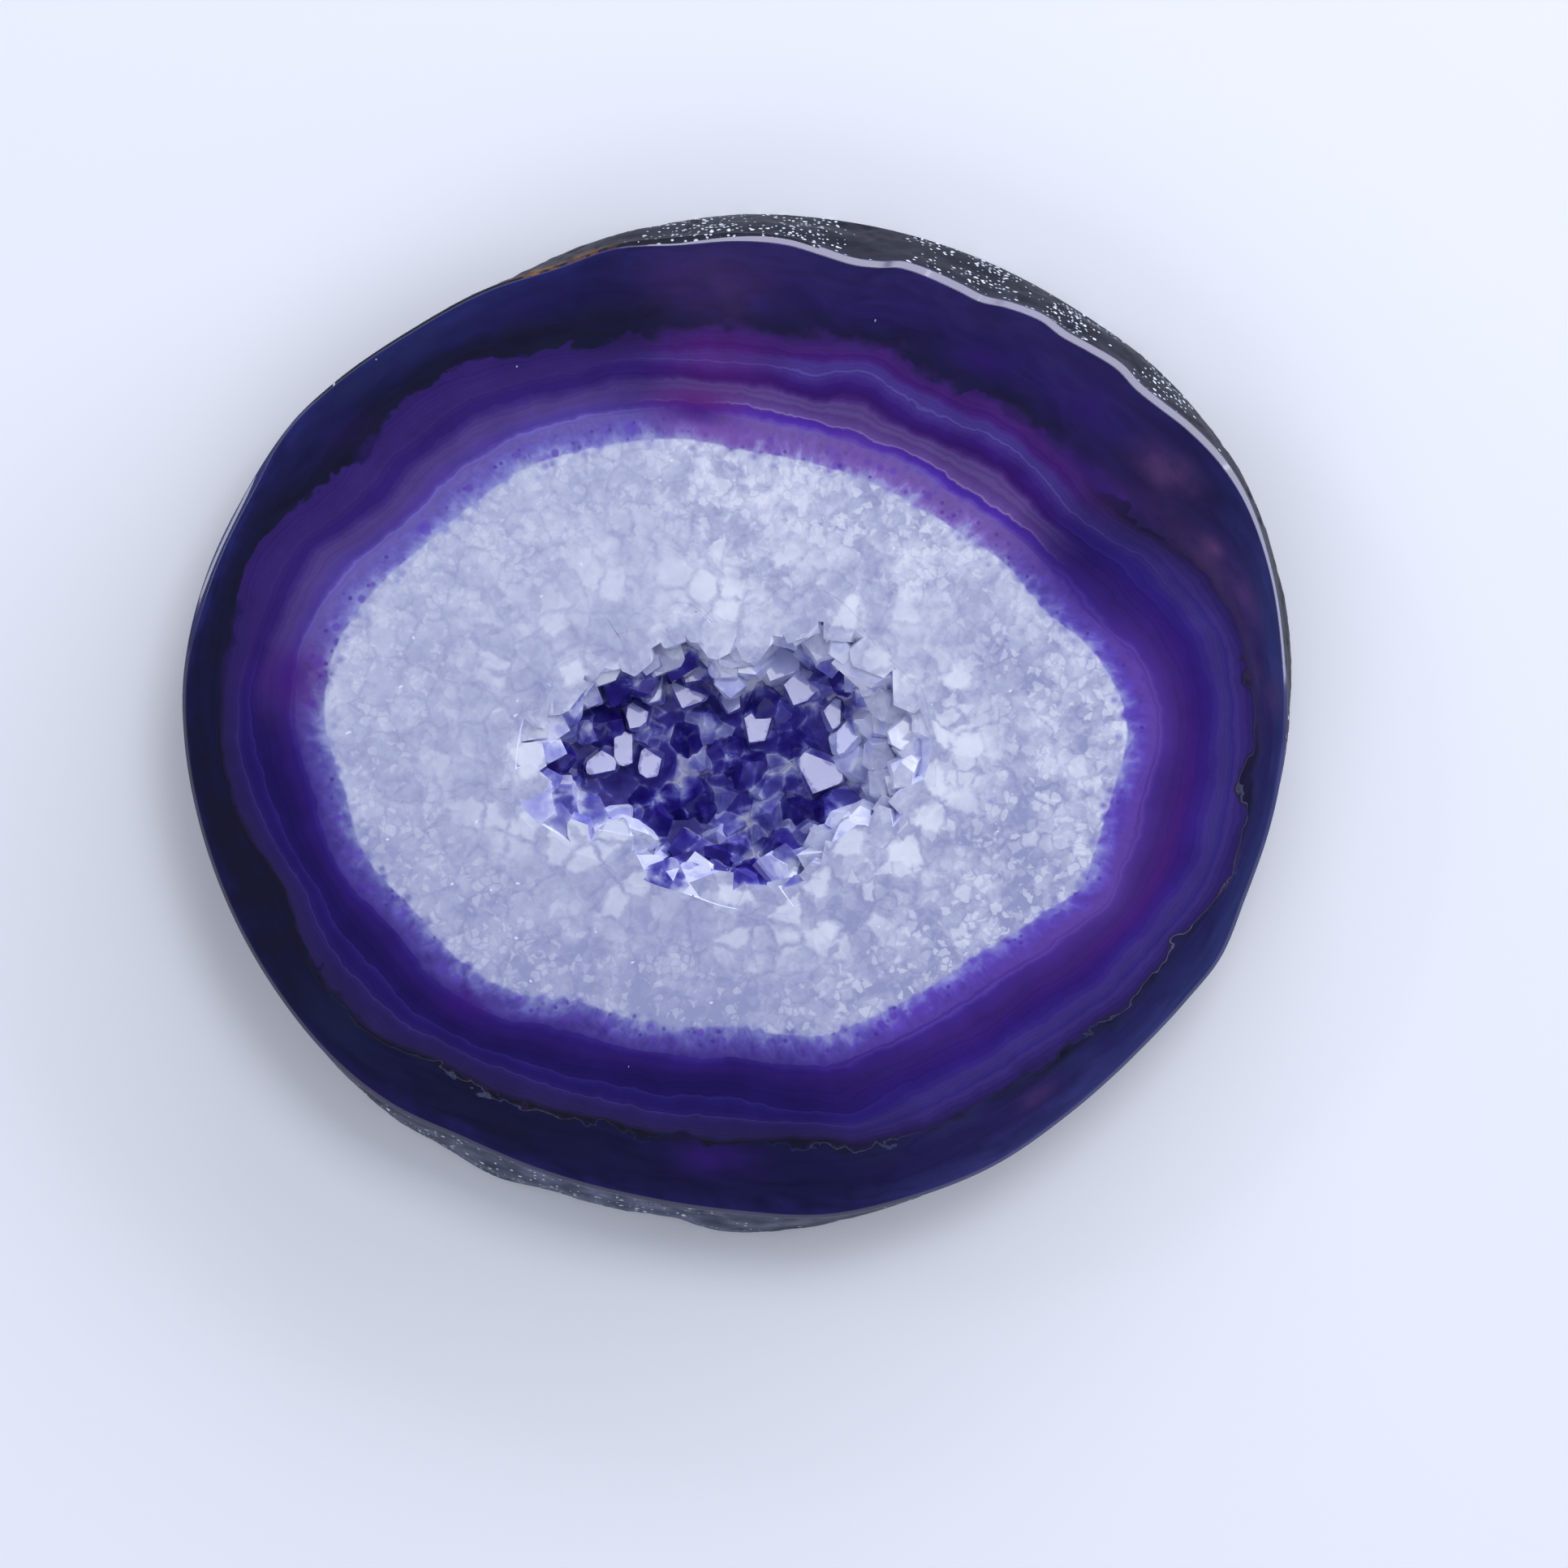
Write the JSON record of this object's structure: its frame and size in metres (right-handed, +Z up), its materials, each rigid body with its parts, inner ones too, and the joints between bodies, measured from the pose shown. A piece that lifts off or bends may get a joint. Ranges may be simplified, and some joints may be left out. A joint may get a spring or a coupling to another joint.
{
  "type": "agate slice",
  "caption": "Thick oval slice of dyed purple banded agate, polished front and back, with a blind crystal-lined hollow in its quartz middle and a natural rind round its edge.",
  "frame": {"origin": "middle of the flat back face, on the surface the slice lies on", "axes": "+Z up through the polished front face, +X along the long way of the slice, +Y along its short way"},
  "size_m": [0.1289, 0.1189, 0.012],
  "materials": {
    "agate": "polished banded agate, dyed violet to navy, with white quartz in the middle and a dull natural rind",
    "quartz_crystal": "clear quartz points with natural bright faces, dyed indigo at their roots"
  },
  "bodies": {
    "root": {"agate_slab": "agate", "crystal_crust": "quartz_crystal"}
  },
  "joints": []
}
